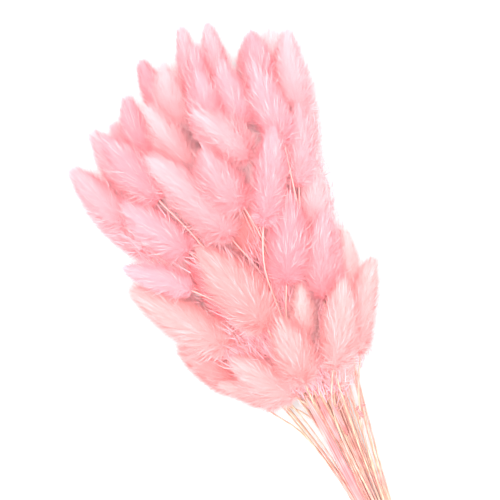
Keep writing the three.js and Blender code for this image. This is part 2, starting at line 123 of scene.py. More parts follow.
def even_line(knots, step):
    """A smooth line through the knots, as points about a step apart, and how far along each point is."""
    ends = np.vstack([2 * knots[0] - knots[1], knots, 2 * knots[-1] - knots[-2]])
    dense = []
    for a, b, c, d in zip(ends, ends[1:], ends[2:], ends[3:]):
        for t in np.linspace(0, 1, LINE_FINENESS, endpoint=False):
            dense.append(
                b
                + 0.5 * t * (c - a)
                + t**2 * (a - 2.5 * b + 2 * c - 0.5 * d)
                + t**3 * (1.5 * (b - c) + 0.5 * (d - a))
            )
    dense = np.array([*dense, knots[-1]])
    way = np.r_[0, np.cumsum(np.linalg.norm(np.diff(dense, axis=0), axis=1))]
    stations = np.linspace(0, way[-1], max(2, round(way[-1] / step) + 1))
    return np.stack([np.interp(stations, way, axis) for axis in dense.T], 1), stations


def unit(vectors):
    return vectors / np.maximum(np.linalg.norm(vectors, axis=-1, keepdims=True), 1e-12)


def frames_along(line):
    """Two directions across a line at each of its points, which turn with it as little as they can."""
    ahead = unit(np.gradient(line, axis=0))
    side = np.cross(ahead[0], (0.0, 0.0, 1.0) if abs(ahead[0][2]) < 0.9 else (1.0, 0.0, 0.0))
    sides = []
    for direction in ahead:
        side = unit(side - direction * (side @ direction))
        sides.append(side)
    sides = np.array(sides)
    return sides, np.cross(ahead, sides)


def tube(line, radii, sides, across, up):
    """Points and faces of a tube round a line, which is round across these two directions."""
    turns = np.arange(sides) / sides * 2 * math.pi
    ring = np.cos(turns)[None, :, None] * across[:, None] + np.sin(turns)[None, :, None] * up[:, None]
    points = (line[:, None] + radii[:, None, None] * ring).reshape(-1, 3)
    faces = []
    for station in range(len(line) - 1):
        for side in range(sides):
            a = station * sides + side
            b = station * sides + (side + 1) % sides
            faces.append((a, b, b + sides, a + sides))
    return points, faces


def new_piece(name, points, faces, material):
    mesh = bpy.data.meshes.new(name)
    mesh.from_pydata(points, [], faces)
    mesh.polygons.foreach_set("use_smooth", np.full(len(mesh.polygons), True))
    mesh.materials.append(material)
    piece = bpy.data.objects.new(name, mesh)
    bpy.context.scene.collection.objects.link(piece)
    return piece


def points_at_corners(mesh):
    """The number of the point at each corner of each face."""
    corner = np.empty(len(mesh.loops), int)
    mesh.loops.foreach_get("vertex_index", corner)
    return corner


def lay_map(piece, across, along):
    """Give each corner of each face its place on the flat map that the piece's colours follow."""
    layer = piece.data.uv_layers.new(name="OFBake")
    layer.uv.foreach_set("vector", np.stack([across, along], 1).astype(np.float32).ravel())


def new_group(name, inputs, outputs):
    """An empty shader node group with these sockets, and its input and output nodes."""
    group = bpy.data.node_groups.new(name, "ShaderNodeTree")
    for socket, kind, value in inputs:
        made = group.interface.new_socket(socket, in_out="INPUT", socket_type=kind)
        made.default_value = value
    for socket, kind in outputs:
        group.interface.new_socket(socket, in_out="OUTPUT", socket_type=kind)
    return group, group.nodes.new("NodeGroupInput"), group.nodes.new("NodeGroupOutput")


def add_node(tree, kind, inputs=(), **settings):
    """A new node with its settings, and with a value or a link for each input that is named."""
    node = tree.nodes.new(kind)
    for name, value in settings.items():
        setattr(node, name, value)
    for socket, source in dict(inputs).items():
        if isinstance(source, bpy.types.NodeSocket):
            tree.links.new(source, node.inputs[socket])
        else:
            node.inputs[socket].default_value = source
    return node


def blend_colours(tree, share, a, b):
    """A mix of two colours, by a share from a socket. Each colour is a triple or a socket."""
    node = tree.nodes.new("ShaderNodeMix")
    node.data_type = "RGBA"
    tree.links.new(share, node.inputs[0])
    for socket, source in ((node.inputs[6], a), (node.inputs[7], b)):
        if isinstance(source, bpy.types.NodeSocket):
            tree.links.new(source, socket)
        else:
            socket.default_value = (*source, 1)
    return node.outputs[2]


def new_material(name):
    """A material with only a Principled shader, its tree and that shader."""
    material = bpy.data.materials.new(name)
    material.use_nodes = True
    return material, material.node_tree, material.node_tree.nodes["Principled BSDF"]


# Streaks that run along a dry blade or straw, and blotches where the dye took well.
fibre, fibre_in, fibre_out = new_group(
    "dyed_fibre",
    [("Across", "NodeSocketFloat", 8.0), ("Along", "NodeSocketFloat", 40.0)],
    [("Streak", "NodeSocketFloat"), ("Dye", "NodeSocketFloat")],
)
fibre_map = add_node(fibre, "ShaderNodeUVMap", uv_map="OFBake")
fibre_place = add_node(fibre, "ShaderNodeTexCoord")
fibre_changes = add_node(
    fibre,
    "ShaderNodeCombineXYZ",
    inputs={"X": fibre_in.outputs["Across"], "Y": fibre_in.outputs["Along"]},
)
fibre_grain = add_node(
    fibre,
    "ShaderNodeVectorMath",
    operation="MULTIPLY",
    inputs={0: fibre_map.outputs[0], 1: fibre_changes.outputs[0]},
)
streak_noise = add_node(
    fibre,
    "ShaderNodeTexNoise",
    inputs={"Vector": fibre_grain.outputs[0], "Scale": 1.0, "Detail": 3.0},
)
dye_noise = add_node(
    fibre,
    "ShaderNodeTexNoise",
    inputs={"Vector": fibre_place.outputs["Object"], "Scale": DYE_BLOTCHES, "Detail": 2.0},
)
for output, noise, (low, high) in (("Streak", streak_noise, STREAK_EDGES), ("Dye", dye_noise, DYE_EDGES)):
    sharper = add_node(
        fibre,
        "ShaderNodeMapRange",
        inputs={"Value": noise.outputs[0], "From Min": low, "From Max": high},
    )
    fibre.links.new(sharper.outputs[0], fibre_out.inputs[output])


def dyed_fibre(tree, across, along, pale, dyed, streaked, streak_depth):
    """The colour of dyed fibre: pale or dyed in blotches, with deeper streaks along it."""
    grain = add_node(tree, "ShaderNodeGroup", node_tree=fibre, inputs={"Across": across, "Along": along})
    base = blend_colours(tree, grain.outputs["Dye"], pale, dyed)
    depth = add_node(
        tree,
        "ShaderNodeMath",
        operation="MULTIPLY",
        inputs={0: grain.outputs["Streak"], 1: streak_depth},
    )
    return blend_colours(tree, depth.outputs[0], base, streaked)


straw, straw_tree, straw_shader = new_material("dyed_straw")
straw_colour = dyed_fibre(
    straw_tree,
    STRAW_STREAKS,
    STRAW_STREAK_CHANGES,
    STRAW_CREAM,
    STRAW_PINK,
    STRAW_TAN_AND_EDGE_SHADE,
    STRAW_STREAK_AND_SHADE_DEPTH,
)
straw_map = add_node(straw_tree, "ShaderNodeUVMap", uv_map="OFBake")
straw_height = add_node(straw_tree, "ShaderNodeSeparateXYZ", inputs={0: straw_map.outputs[0]})
neck_dye = add_node(
    straw_tree,
    "ShaderNodeMapRange",
    inputs={
        "Value": straw_height.outputs["Y"],
        "From Min": NECK_DYE_FROM,
        "From Max": NECK_DYE_FULL,
        "To Max": NECK_DYE_DEPTH,
    },
)
straw_dyed = blend_colours(straw_tree, neck_dye.outputs[0], straw_colour, STRAW_NECK)
straw_tree.links.new(straw_dyed, straw_shader.inputs["Base Color"])
straw_shader.inputs["Roughness"].default_value = 0.5
straw_shader.inputs["Specular IOR Level"].default_value = 0.35

tails = {}
for name in sorted(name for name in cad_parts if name.startswith("tail_")):
    middles, reaches = rings_from_tip(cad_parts[name])
    neck = int(np.flatnonzero(reaches > HEAD_REACH).max()) + 1
    tails[name] = {
        "head": middles[: neck + 1][::-1],
        "reach": reaches[: neck + 1][::-1],
        "stem": middles[neck:][::-1],
    }

for number, (name, tail) in enumerate(tails.items()):
    draw = np.random.default_rng(number)
    inside = unit(tail["head"][2] - tail["head"][0]) * STEM_IN_HEAD + tail["head"][0]
    line, way = even_line(np.vstack([tail["stem"], inside]), STEM_STEP)
    radii = np.interp(way, (0, way[-1]), (STEM_RADIUS, STEM_TIP_RADIUS))
    joint = draw.uniform(*JOINT_SPACING)
    while joint < way[-1] - JOINT_SPACING[0]:
        radii *= 1 + JOINT_SWELL * np.exp(-(((way - joint) / JOINT_LENGTH) ** 2))
        joint += draw.uniform(*JOINT_SPACING)
    points, faces = tube(line, radii, STEM_SIDES, *frames_along(line))

    # At the cut end the skin turns in over the rim and down the hole, to the hole's closed bottom.
    rim = points[:STEM_SIDES]
    centre = rim.mean(0)
    inner = centre + (rim - centre) * STEM_HOLLOW
    out = line[1] - line[0]
    bottom = line[0] + out / np.linalg.norm(out) * STEM_HOLLOW_DEPTH
    deep = inner + (bottom - centre)
    first = len(points)
    points = np.vstack([points, inner, deep])
    for side in range(STEM_SIDES):
        after = (side + 1) % STEM_SIDES
        faces.append((side, first + side, first + after, after))
        faces.append((first + side, first + STEM_SIDES + side, first + STEM_SIDES + after, first + after))
    faces.append(tuple(first + STEM_SIDES + side for side in range(STEM_SIDES)))
    faces.append(tuple(first - STEM_SIDES + side for side in range(STEM_SIDES)))
    piece = new_piece(f"{name}_stem", points, faces, straw)

    # A face that closes the ring runs on to the far edge of the map, and not back across it.
    mesh = piece.data
    corner = points_at_corners(mesh)
    height = np.r_[np.repeat(way / LONGEST_STEM, STEM_SIDES), np.zeros(2 * STEM_SIDES)]
    around = np.tile(np.arange(STEM_SIDES), len(way) + 2)[corner] / STEM_SIDES
    start = np.empty(len(mesh.polygons), int)
    mesh.polygons.foreach_get("loop_start", start)
    total = np.empty(len(mesh.polygons), int)
    mesh.polygons.foreach_get("loop_total", total)
    closing = np.maximum.reduceat(around, start) - np.minimum.reduceat(around, start) > 0.5
    around += np.repeat(closing, total) & (around < 0.5)
    lay_map(piece, around * STRAW_MAP_WIDTH, height[corner])
    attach(piece, "root")
    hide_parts(name)

# The rubber band
# A natural rubber band is wound three times round the stems near their cut ends. One strand crosses over the
# others where the winding closes.
BAND_THICKNESS = 0.0014
BAND_TURNS = 3
BAND_STEPS = 84  # in one turn
BAND_SIDES = 12
BAND_CROSSING = 0.2  # of a turn, in which each strand moves over to the next place
BAND_OVER = 0.0013  # how far the crossing strand stands above the others
BAND_CREST = 0.7  # below 1, it stays high for longer
BAND_CROSSING_TURN = math.radians(75)
RUBBER_DARK = (0.42, 0.27, 0.14)
RUBBER_PALE = (0.58, 0.42, 0.26)
RUBBER_CLOUDS = 240.0  # in a metre
RUBBER_GRAINS = 2600.0
RUBBER_GRAIN_HEIGHT = 0.0001

tie_low, tie_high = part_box("tie")
tie_middle = (tie_low + tie_high) / 2
band_turn = np.arange(BAND_TURNS * BAND_STEPS + 1) / BAND_STEPS
winding = np.minimum(band_turn.astype(int), BAND_TURNS - 1)
moving = np.clip((band_turn - winding - 1) / BAND_CROSSING + 1, 0, 1)
moving = moving * moving * (3 - 2 * moving)
to_next = np.where(winding < BAND_TURNS - 1, 1, 1 - BAND_TURNS)
band_way = (winding + to_next * moving - (BAND_TURNS - 1) / 2) * BAND_THICKNESS
crossing = np.where(winding == BAND_TURNS - 1, np.sin(math.pi * np.clip(moving, 0, 1)), 0)
band_reach = (tie_high.x - tie_low.x) / 2 - BAND_THICKNESS / 2 + BAND_OVER * crossing**BAND_CREST
angle = BAND_CROSSING_TURN + 2 * math.pi * band_turn
spokes = np.stack([np.cos(angle), np.zeros(len(angle)), np.sin(angle)], 1)
band_line = np.array(tie_middle) + spokes * band_reach[:, None] + np.outer(band_way, (0.0, 1.0, 0.0))
band_beside = unit(np.cross(np.gradient(band_line, axis=0), spokes))
band_radii = np.full(len(band_line), BAND_THICKNESS / 2)
band_points, band_faces = tube(band_line, band_radii, BAND_SIDES, spokes, band_beside)

rubber, rubber_tree, rubber_shader = new_material("natural_rubber")
rubber_place = add_node(rubber_tree, "ShaderNodeTexCoord")
rubber_cloud = add_node(
    rubber_tree,
    "ShaderNodeTexNoise",
    inputs={"Vector": rubber_place.outputs["Object"], "Scale": RUBBER_CLOUDS, "Detail": 3.0},
)
rubber_colour = blend_colours(rubber_tree, rubber_cloud.outputs[0], RUBBER_DARK, RUBBER_PALE)
rubber_tree.links.new(rubber_colour, rubber_shader.inputs["Base Color"])
rubber_grain = add_node(
    rubber_tree,
    "ShaderNodeTexNoise",
    inputs={"Vector": rubber_place.outputs["Object"], "Scale": RUBBER_GRAINS, "Detail": 2.0},
)
rubber_bump = add_node(
    rubber_tree,
    "ShaderNodeBump",
    inputs={"Strength": 0.25, "Distance": RUBBER_GRAIN_HEIGHT, "Height": rubber_grain.outputs[0]},
)
rubber_tree.links.new(rubber_bump.outputs[0], rubber_shader.inputs["Normal"])
rubber_shader.inputs["Roughness"].default_value = 0.55
rubber_shader.inputs["Specular IOR Level"].default_value = 0.35
band = new_piece("rubber_band", band_points, band_faces, rubber)
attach(band, "root")
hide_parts("tie")

# The heads
# A head is a dense oval spike of small seed husks, each with a tuft of fine silky hairs that lean towards
# the tip. The hairs took the pink dye and are palest at their ends. Their colour deepens down into the fur:
# that deepening is painted shade.
CORE_SHARE = 0.7  # the husks' reach as a share of the furry outline
CORE_FROM = 0.05  # where the husks start, as a share of the head's length
CORE_LENGTH = 0.85  # the share of it that they cover
CORE_UNEVENNESS = 0.04
CORE_LEAST_REACH = 0.0001
CORE_SIDES = 18
CORE_RINGS = 15
CORE_SHADE = 0.4  # where the husks are on the scale of shades below, down in its painted shade

TUFT_SPACING = 0.0024  # from the middle of one husk's tuft to the next
TUFT_STOUTNESS = 0.3  # a head's half width against its length, to tell which tuft is the nearest
TUFT_LEAN = 3.5  # degrees by which one tuft leans out more or less than the next
TUFT_TURN = 4  # degrees by which it leans to one side
TUFT_LENGTH = (0.82, 1.2)
TUFT_GATHER = 0.4  # how far the hairs of one tuft come together at their ends

# Along the head from its base, how many degrees the hairs stand off from the head's line.
HAIR_LEAN = ((0, 0.04, 0.12, 0.3, 0.65, 0.85, 1), (125, 90, 58, 36, 24, 13, 2))
HAIR_GROWTH = ((0, 0.15, 0.65, 0.85, 1), (0.62, 1, 1, 0.9, 1.3))  # of the lengths below
# For each kind: how many on a square metre, width, shortest and longest, degrees of stray, and the shades of
# the root and of the end. On this scale 0 is deep in the fur, 1 is the palest end and 1.1 a wisp. The deeper
# colours towards 0 are painted shade of the fur's depth, and the wisp's grey is painted shade too.
HAIRS = {
    "under": (4.2e6, 0.00026, (0.0042, 0.0074), 18, (0.3, 0.8)),
    "top": (4.3e6, 0.00014, (0.0062, 0.0095), 9, (0.35, 1.0)),
    "long": (0.12e6, 0.0002, (0.009, 0.013), 12, (1.1, 1.1)),
}
HAIR_ROOT = 0.96  # how deep a hair is rooted, as a share of the husks' reach
HAIR_ROLL = 0.8  # radians by which a hair's flat side may turn away from the skin
HAIR_SOFTNESS = 0.35  # how much more a hair takes its shading from the whole head's surface than from its own
ROOTS_AT_ENDS = 0.0009  # of reach, so that hairs grow at the base and at the tip too
FULL_REACH = 0.0088  # of the outline at its widest, with which the hairs have the lengths above
# Along the head, the least shade: at the base the hairs fan out and their roots lie in the open, so they get
# less of the painted shade.
BASE_SHADE = ((0.0, 0.18, 0.4), (0.85, 0.6, 0.0))
LONG_HAIR_LEAN = 9  # degrees that the longest hairs stand off further than the rest
LONG_HAIR_CROWDING = 1.2  # above 1, there are more of them near the base
LONG_HAIR_BEND = 0.55  # where one bends, along its length
LONG_HAIR_BOW = (0.054, 0.216)  # how far it bows out there, as a share of its length

FIRST_HIDDEN = 46  # this head and the later ones lie underneath
HIDDEN_SHARE = 0.5  # of the hairs, on those
HIDDEN_FLUFF = 1.35
FLUFFY = (4, 10, 11, 14, 15, 16, 17, 18, 19, 21, 23, 24, 25, 26, 27, 30, 31, 34, 35, 36, 41, 45)
FLUFF = 1.15  # how much fuller a head's fur is where its neighbours hold it up
HEAD_LOWEST = 0.0002  # above the table

WISP_SHADOW_GREY = (0.80, 0.50, 0.52)  # the longest hairs are thin; their dull grey-pink is painted shade
# The dye's tones, with lighter and darker copies of them that paint light and shade.
FUR_DYES_AND_PAINTED_LIGHT = {
    # deepest, middle and tip colour; the deepest is painted shade of the fur's depth
    "pink": ((0.97, 0.31, 0.37), (0.97, 0.41, 0.45), (0.97, 0.44, 0.48)),
    "pale": ((0.97, 0.39, 0.42), (0.97, 0.51, 0.54), (0.97, 0.53, 0.55)),
    "palest": ((0.97, 0.46, 0.49), (0.97, 0.59, 0.61), (0.97, 0.61, 0.63)),
    "rose": ((0.97, 0.26, 0.33), (0.97, 0.34, 0.39), (0.97, 0.37, 0.41)),
    "cool": ((0.97, 0.31, 0.36), (0.97, 0.39, 0.43), (0.97, 0.41, 0.47)),
    "cool_pale": ((0.97, 0.37, 0.42), (0.97, 0.48, 0.52), (0.97, 0.49, 0.52)),
    "peach": ((0.97, 0.32, 0.31), (0.97, 0.43, 0.42), (0.97, 0.46, 0.47)),
    "peach_pale": ((0.97, 0.40, 0.39), (0.97, 0.53, 0.53), (0.97, 0.56, 0.55)),
    "coral": ((0.97, 0.26, 0.26), (0.97, 0.37, 0.37), (0.97, 0.41, 0.41)),
    "deep": ((0.97, 0.14, 0.16), (0.97, 0.24, 0.27), (0.97, 0.31, 0.34)),
}
MOST_HEADS = "pink"
# Which heads take which tone. The lighter copies (pale, palest and the pale cool and peach ones) lift heads
# that lie in shade among the others, and rose and deep darken heads that lie in the open and the heads
# underneath: painted light and shade, on top of the dye's own pink, cool, peach and coral tones.
DYE_AND_PAINTED_LIGHT_OF = {
    "pale": (10, 11, 29),
    "palest": (21, 23, 27, 50, 53),
    "rose": (6, 7, 9, 14, 20, 30),
    "cool": (3, 15, 16, 24, 26, 38),
    "cool_pale": (4, 17, 22),
    "peach": (33, 34, 36, 39, 42, 44),
    "peach_pale": (32, 35, 37, 45),
    "coral": (40, 43, 51),
    "deep": (41, 46, 47, 48, 49, 52, 54, 55),
}
DYE_PATCHES = 60.0  # in a metre
DYE_PATCH_EDGES = (0.35, 0.65)
DYE_PATCH_DEPTH = 0.35

# The shades lie along the map from these places. The map has columns, side by side, for the sides of a head.
SHADE_FROM = 0.02
SHADE_LENGTH = 0.86
MAP_COLUMNS = 8
COLUMN_MARGIN = 0.1
MIDDLE_SHADE_AT = 0.45  # on the map, where the deepest colour has turned into the middle one
TIP_SHADE = (0.32, 0.88)  # where the tip colour starts and where it is full
WISP_SHADE = (0.9, 0.95)

fur, fur_in, fur_out = new_group(
    "dyed_fur",
    [
        ("Shaded depth", "NodeSocketColor", (0.8, 0.1, 0.15, 1)),
        ("Middle", "NodeSocketColor", (0.9, 0.3, 0.4, 1)),
        ("Tip", "NodeSocketColor", (0.95, 0.6, 0.7, 1)),
        ("Wisp", "NodeSocketColor", (0.8, 0.6, 0.6, 1)),
    ],
    [("Color", "NodeSocketColor")],
)
fur_map = add_node(fur, "ShaderNodeUVMap", uv_map="OFBake")
fur_shade = add_node(fur, "ShaderNodeSeparateXYZ", inputs={0: fur_map.outputs[0]}).outputs["Y"]
fur_place = add_node(fur, "ShaderNodeTexCoord")
fur_patches = add_node(
    fur,
    "ShaderNodeTexNoise",
    inputs={"Vector": fur_place.outputs["Object"], "Scale": DYE_PATCHES, "Detail": 1.0},
)


def fur_share(value, low, high, most=1.0):
    """A socket that goes from 0 to the most while the value goes from low to high."""
    inputs = {"Value": value, "From Min": low, "From Max": high, "To Max": most}
    return add_node(fur, "ShaderNodeMapRange", inputs=inputs).outputs[0]


# Down in the fur the colour turns to the deepest one: painted shade of the fur's depth.
fur_colour = blend_colours(
    fur,
    fur_share(fur_shade, 0.0, MIDDLE_SHADE_AT),
    fur_in.outputs["Shaded depth"],
    fur_in.outputs["Middle"],
)
fur_colour = blend_colours(fur, fur_share(fur_shade, *TIP_SHADE), fur_colour, fur_in.outputs["Tip"])
patch = fur_share(fur_patches.outputs[0], *DYE_PATCH_EDGES, DYE_PATCH_DEPTH)
fur_colour = blend_colours(fur, patch, fur_colour, fur_in.outputs["Middle"])
# The longest hairs take the wisp colour, greyed with painted shade.
fur_colour = blend_colours(fur, fur_share(fur_shade, *WISP_SHADE), fur_colour, fur_in.outputs["Wisp"])
fur.links.new(fur_colour, fur_out.inputs["Color"])

fur_materials = {}
for tone, (deep, middle, tip) in FUR_DYES_AND_PAINTED_LIGHT.items():
    material, tree, shader = new_material(f"fur_{tone}")
    dyed = add_node(
        tree,
        "ShaderNodeGroup",
        node_tree=fur,
        inputs={"Shaded depth": (*deep, 1), "Middle": (*middle, 1), "Tip": (*tip, 1), "Wisp": (*WISP_SHADOW_GREY, 1)},
    )
    tree.links.new(dyed.outputs["Color"], shader.inputs["Base Color"])
    shader.inputs["Roughness"].default_value = 0.9
    shader.inputs["Specular IOR Level"].default_value = 0.1
    shader.inputs["Sheen Weight"].default_value = 0.15
    shader.inputs["Sheen Roughness"].default_value = 0.5
    shader.inputs["Sheen Tint"].default_value = (1.0, 0.85, 0.88, 1)
    fur_materials[tone] = material


class Head:
    """Where a head lies: its line from base to tip, and how far its furry outline stands from that line."""

    def __init__(self, middles, reaches, fluff):
        way = np.r_[0, np.cumsum(np.linalg.norm(np.diff(middles, axis=0), axis=1))]
        share = way / way[-1]
        inner = share[1:-1]
        self.length = way[-1]
        self.bend = np.polyfit(share, middles, 3)
        self.swell = np.polyfit(inner, reaches[1:-1] ** 2 / (inner * (1 - inner)), 3)
        ahead = unit(middles[-1] - middles[0])
        self.side = unit(np.cross(ahead, (0.0, 0.0, 1.0)))
        self.top = np.cross(self.side, ahead)
        widths = self.outline(np.linspace(0, 1, 200))
        self.fur = widths.max() / FULL_REACH * fluff
        self.area = 2 * math.pi * widths.mean() * self.length

    def outline(self, share):
        share = np.clip(share, 0, 1)
        return np.sqrt(np.maximum(np.polyval(self.swell, share), 0) * share * (1 - share))

    def spoke(self, turn):
        return np.cos(turn)[..., None] * self.side + np.sin(turn)[..., None] * self.top

    def on_husks(self, share, turn, reach):
        """The place at a share of the husks' length, at a turn round the head, this far from its line."""
        share = CORE_FROM + share * CORE_LENGTH
        line = sum(c * share[..., None] ** (3 - i) for i, c in enumerate(self.bend))
        return line + self.spoke(turn) * reach[..., None]

    def ahead(self, share):
        """The direction of the line there, towards the tip."""
        return unit(sum((3 - i) * c * share[..., None] ** (2 - i) for i, c in enumerate(self.bend[:3])))

    def roots(self, draw, count):
        """Places on the skin, as shares of the length and turns, spread evenly."""
        shares = np.linspace(0, 1, 400)
        skin = np.cumsum(self.outline(shares) + ROOTS_AT_ENDS)
        share = np.interp(draw.uniform(0, skin[-1], count), skin, shares)
        return share, draw.uniform(0, 2 * math.pi, count)


def spots(share, turn):
    """Places on a head of length 1, to tell which are near one another."""
    return np.stack([np.cos(turn) * TUFT_STOUTNESS, np.sin(turn) * TUFT_STOUTNESS, share], 1)


def grow_hairs(head, draw, tufts, kind, area):
    """Hairs on the husks: their points, each point's shade, share, turn and shading, and their faces."""
    density, width, lengths, stray, (root_shade, end_shade) = HAIRS[kind]
    count = round(density * area)
    share, turn = head.roots(draw, count)
    if kind == "long":
        share = share**LONG_HAIR_CROWDING
    middles = spots(tufts["share"], tufts["turn"])
    mine = (2 * spots(share, turn) @ middles.T - (middles**2).sum(1)).argmax(1)
    lean = np.radians(np.interp(share, *HAIR_LEAN) + tufts["lean"][mine] + draw.normal(0, stray, count))
    if kind == "long":
        lean += math.radians(LONG_HAIR_LEAN)
    aside = np.radians(tufts["aside"][mine] + draw.normal(0, stray, count))
    length = draw.uniform(*lengths, count) * head.fur
    length = length * np.interp(share, *HAIR_GROWTH) * tufts["length"][mine]
    root = head.on_husks(share, turn, head.outline(share) * CORE_SHARE * HAIR_ROOT)
    spoke = head.spoke(turn)
    ahead = head.ahead(share)
    beside = np.cross(ahead, spoke)
    outwards = spoke * np.cos(aside)[:, None] + beside * np.sin(aside)[:, None]
    way = ahead * np.cos(lean)[:, None] + outwards * np.sin(lean)[:, None]
    tip = root + way * length[:, None]
    if kind == "top":
        gathered = np.stack([np.bincount(mine, tip[:, i], len(middles)) for i in range(3)], 1)
        gathered /= np.maximum(np.bincount(mine, minlength=len(middles)), 1)[:, None]
        tip += (gathered[mine] - tip) * TUFT_GATHER
        way = unit(tip - root)
    flat = unit(np.cross(way, spoke))
    roll = draw.uniform(-HAIR_ROLL, HAIR_ROLL, count)[:, None]
    across = flat * np.cos(roll) + np.cross(flat, way) * np.sin(roll)
    slope = (head.outline(share + 0.01) - head.outline(share - 0.01)) / (0.02 * head.length)
    skin = unit(spoke - ahead * slope[:, None])
    own = np.cross(across, way)
    outward = np.sign((own * skin).sum(1))[:, None]
    across *= outward * width / 2
    shading = unit(own * outward + skin * HAIR_SOFTNESS)
    # Every kind draws its bow, but only a long hair is long enough to show it.
    bow = length[:, None] * draw.uniform(*LONG_HAIR_BOW, (count, 1))
    if kind == "long":
        middle = root + (tip - root) * LONG_HAIR_BEND + (spoke - way * (spoke * way).sum(1)[:, None]) * bow
        points = np.stack([root, middle - across, middle + across, tip], 1)
        shades = (root_shade, root_shade, root_shade, end_shade)
        faces = ((0, 2, 1), (1, 2, 3))
    else:
        points = np.stack([root - across, root + across, tip], 1)
        shades = (root_shade, root_shade, end_shade)
        faces = ((0, 1, 2),)
    step = len(shades)
    shades = np.maximum(np.tile(shades, count), np.repeat(np.interp(share, *BASE_SHADE), step))
    all_faces = (np.arange(count)[:, None, None] * step + np.array(faces)).reshape(-1, 3)
    spread = (np.repeat(share, step), np.repeat(turn, step), np.repeat(shading, step, 0))
    return points.reshape(-1, 3), shades, *spread, all_faces


def husk_skin(head, draw):
    """The husks as one closed skin that the hairs stand on, in the same form as the hairs."""
    ring_share = (1 - np.cos(np.linspace(0, math.pi, CORE_RINGS + 1))) / 2
    share = np.repeat(ring_share, CORE_SIDES)
    turn = np.tile(np.arange(CORE_SIDES) / CORE_SIDES * 2 * math.pi, CORE_RINGS + 1)
    reach = np.maximum(head.outline(share) * CORE_SHARE, CORE_LEAST_REACH)
    reach = reach * draw.uniform(1 - CORE_UNEVENNESS, 1 + CORE_UNEVENNESS, len(reach))
    ring = np.arange(CORE_RINGS)[:, None] * CORE_SIDES
    a = (ring + np.arange(CORE_SIDES)).ravel()
    b = (ring + (np.arange(CORE_SIDES) + 1) % CORE_SIDES).ravel()
    faces = np.concatenate(
        [np.stack([a, b, b + CORE_SIDES], 1), np.stack([a, b + CORE_SIDES, a + CORE_SIDES], 1)]
    )
    shades = np.full(len(share), CORE_SHADE)
    return head.on_husks(share, turn, reach), shades, share, turn, np.zeros((len(share), 3)), faces


for number, (name, tail) in enumerate(tails.items(), 1):
    draw = np.random.default_rng(1000 + number)
    hidden = number >= FIRST_HIDDEN
    fluff = HIDDEN_FLUFF if hidden else FLUFF if number in FLUFFY else 1.0
    tone = next((tone for tone, numbers in DYE_AND_PAINTED_LIGHT_OF.items() if number in numbers), MOST_HEADS)
    head = Head(tail["head"], tail["reach"], fluff)
    parts = [husk_skin(head, draw)]
    tuft_count = round(head.area / TUFT_SPACING**2)
    tuft_share, tuft_turn = head.roots(draw, tuft_count)
    tufts = {
        "share": tuft_share,
        "turn": tuft_turn,
        "lean": draw.normal(0, TUFT_LEAN, tuft_count),
        "length": draw.uniform(*TUFT_LENGTH, tuft_count),
        "aside": draw.normal(0, TUFT_TURN, tuft_count),
    }
    hairy_area = head.area * (HIDDEN_SHARE if hidden else 1)
    parts += [grow_hairs(head, draw, tufts, kind, hairy_area) for kind in HAIRS]
    first = np.cumsum([0] + [len(part[0]) for part in parts[:-1]])
    faces = np.concatenate([part[-1] + start for part, start in zip(parts, first)])
    points, shades, share, turn, shading = (np.concatenate(rows) for rows in list(zip(*parts))[:-1])
    points[:, 2] = np.maximum(points[:, 2], HEAD_LOWEST)
    piece = new_piece(f"{name}_head", points, faces, fur_materials[tone])
    piece.data.normals_split_custom_set_from_vertices(shading)
    column = np.floor(turn % (2 * math.pi) / (2 * math.pi) * MAP_COLUMNS)
    map_across = (column + COLUMN_MARGIN + (1 - 2 * COLUMN_MARGIN) * share) / MAP_COLUMNS
    corner = faces.ravel()
    lay_map(piece, map_across[corner], SHADE_FROM + SHADE_LENGTH * shades[corner])
    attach(piece, "root")
    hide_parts(name)

# The shed hairs
# Hairs that the heads have shed are caught between the stems underneath. They lie along the stems and fill
# the gaps between the heads with pink, in the fur's deeper colours, which are painted shade.
SHED_FROM = 0.088  # from the band, in the middle of the bundle
SHED_SLOPE = 0.8  # how much further from the band they start for each step to the side
SHED_BELOW = 0.042  # above the table
SHED_LOWEST = 0.0005
SHED_STEP = 0.004
SHED_HAIRS = 17  # at each step
SHED_SCATTER = 0.004
SHED_STRAY = 0.4  # of its length, how far one points to the side of the stem's direction
SHED_LENGTH = (0.007, 0.013)
SHED_WIDTH = 0.00045
SHED_MAP_ACROSS = (0.05, 0.95)
SHED_SHADED_MAP_ALONG = (0.25, 0.3, 0.6)  # at the two points of a hair's root and at its end, in the deeper part of the fur's map, which is painted shade

draw = np.random.default_rng(70)
shed_roots, shed_ahead = [], []
for tail in tails.values():
    line, _ = even_line(tail["stem"], SHED_STEP)
    shed_edge = tie_middle.y + SHED_FROM + SHED_SLOPE * np.abs(line[:, 0] - tie_middle.x)
    low = (line[:, 1] > shed_edge) & (line[:, 2] < SHED_BELOW)
    shed_roots.append(np.repeat(line[low], SHED_HAIRS, 0))
    shed_ahead.append(np.repeat(unit(np.gradient(line, axis=0))[low], SHED_HAIRS, 0))
shed_roots, shed_ahead = np.concatenate(shed_roots), np.concatenate(shed_ahead)
count = len(shed_roots)
shed_roots += draw.normal(0, SHED_SCATTER, (count, 3))
shed_way = unit(shed_ahead + draw.normal(0, SHED_STRAY, (count, 3)))
shed_up = np.array([0, 0, 1]) + draw.normal(0, SHED_STRAY, (count, 3))
shed_across = unit(np.cross(shed_way, shed_up)) * SHED_WIDTH / 2
shed_tips = shed_roots + shed_way * draw.uniform(*SHED_LENGTH, (count, 1))
points = np.stack([shed_roots - shed_across, shed_roots + shed_across, shed_tips], 1).reshape(-1, 3)
points[:, 2] = np.maximum(points[:, 2], SHED_LOWEST)
shed = new_piece("shed_hairs", points, np.arange(3 * count).reshape(-1, 3), fur_materials[MOST_HEADS])
lay_map(shed, np.repeat(draw.uniform(*SHED_MAP_ACROSS, count), 3), np.tile(SHED_SHADED_MAP_ALONG, count))
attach(shed, "root")

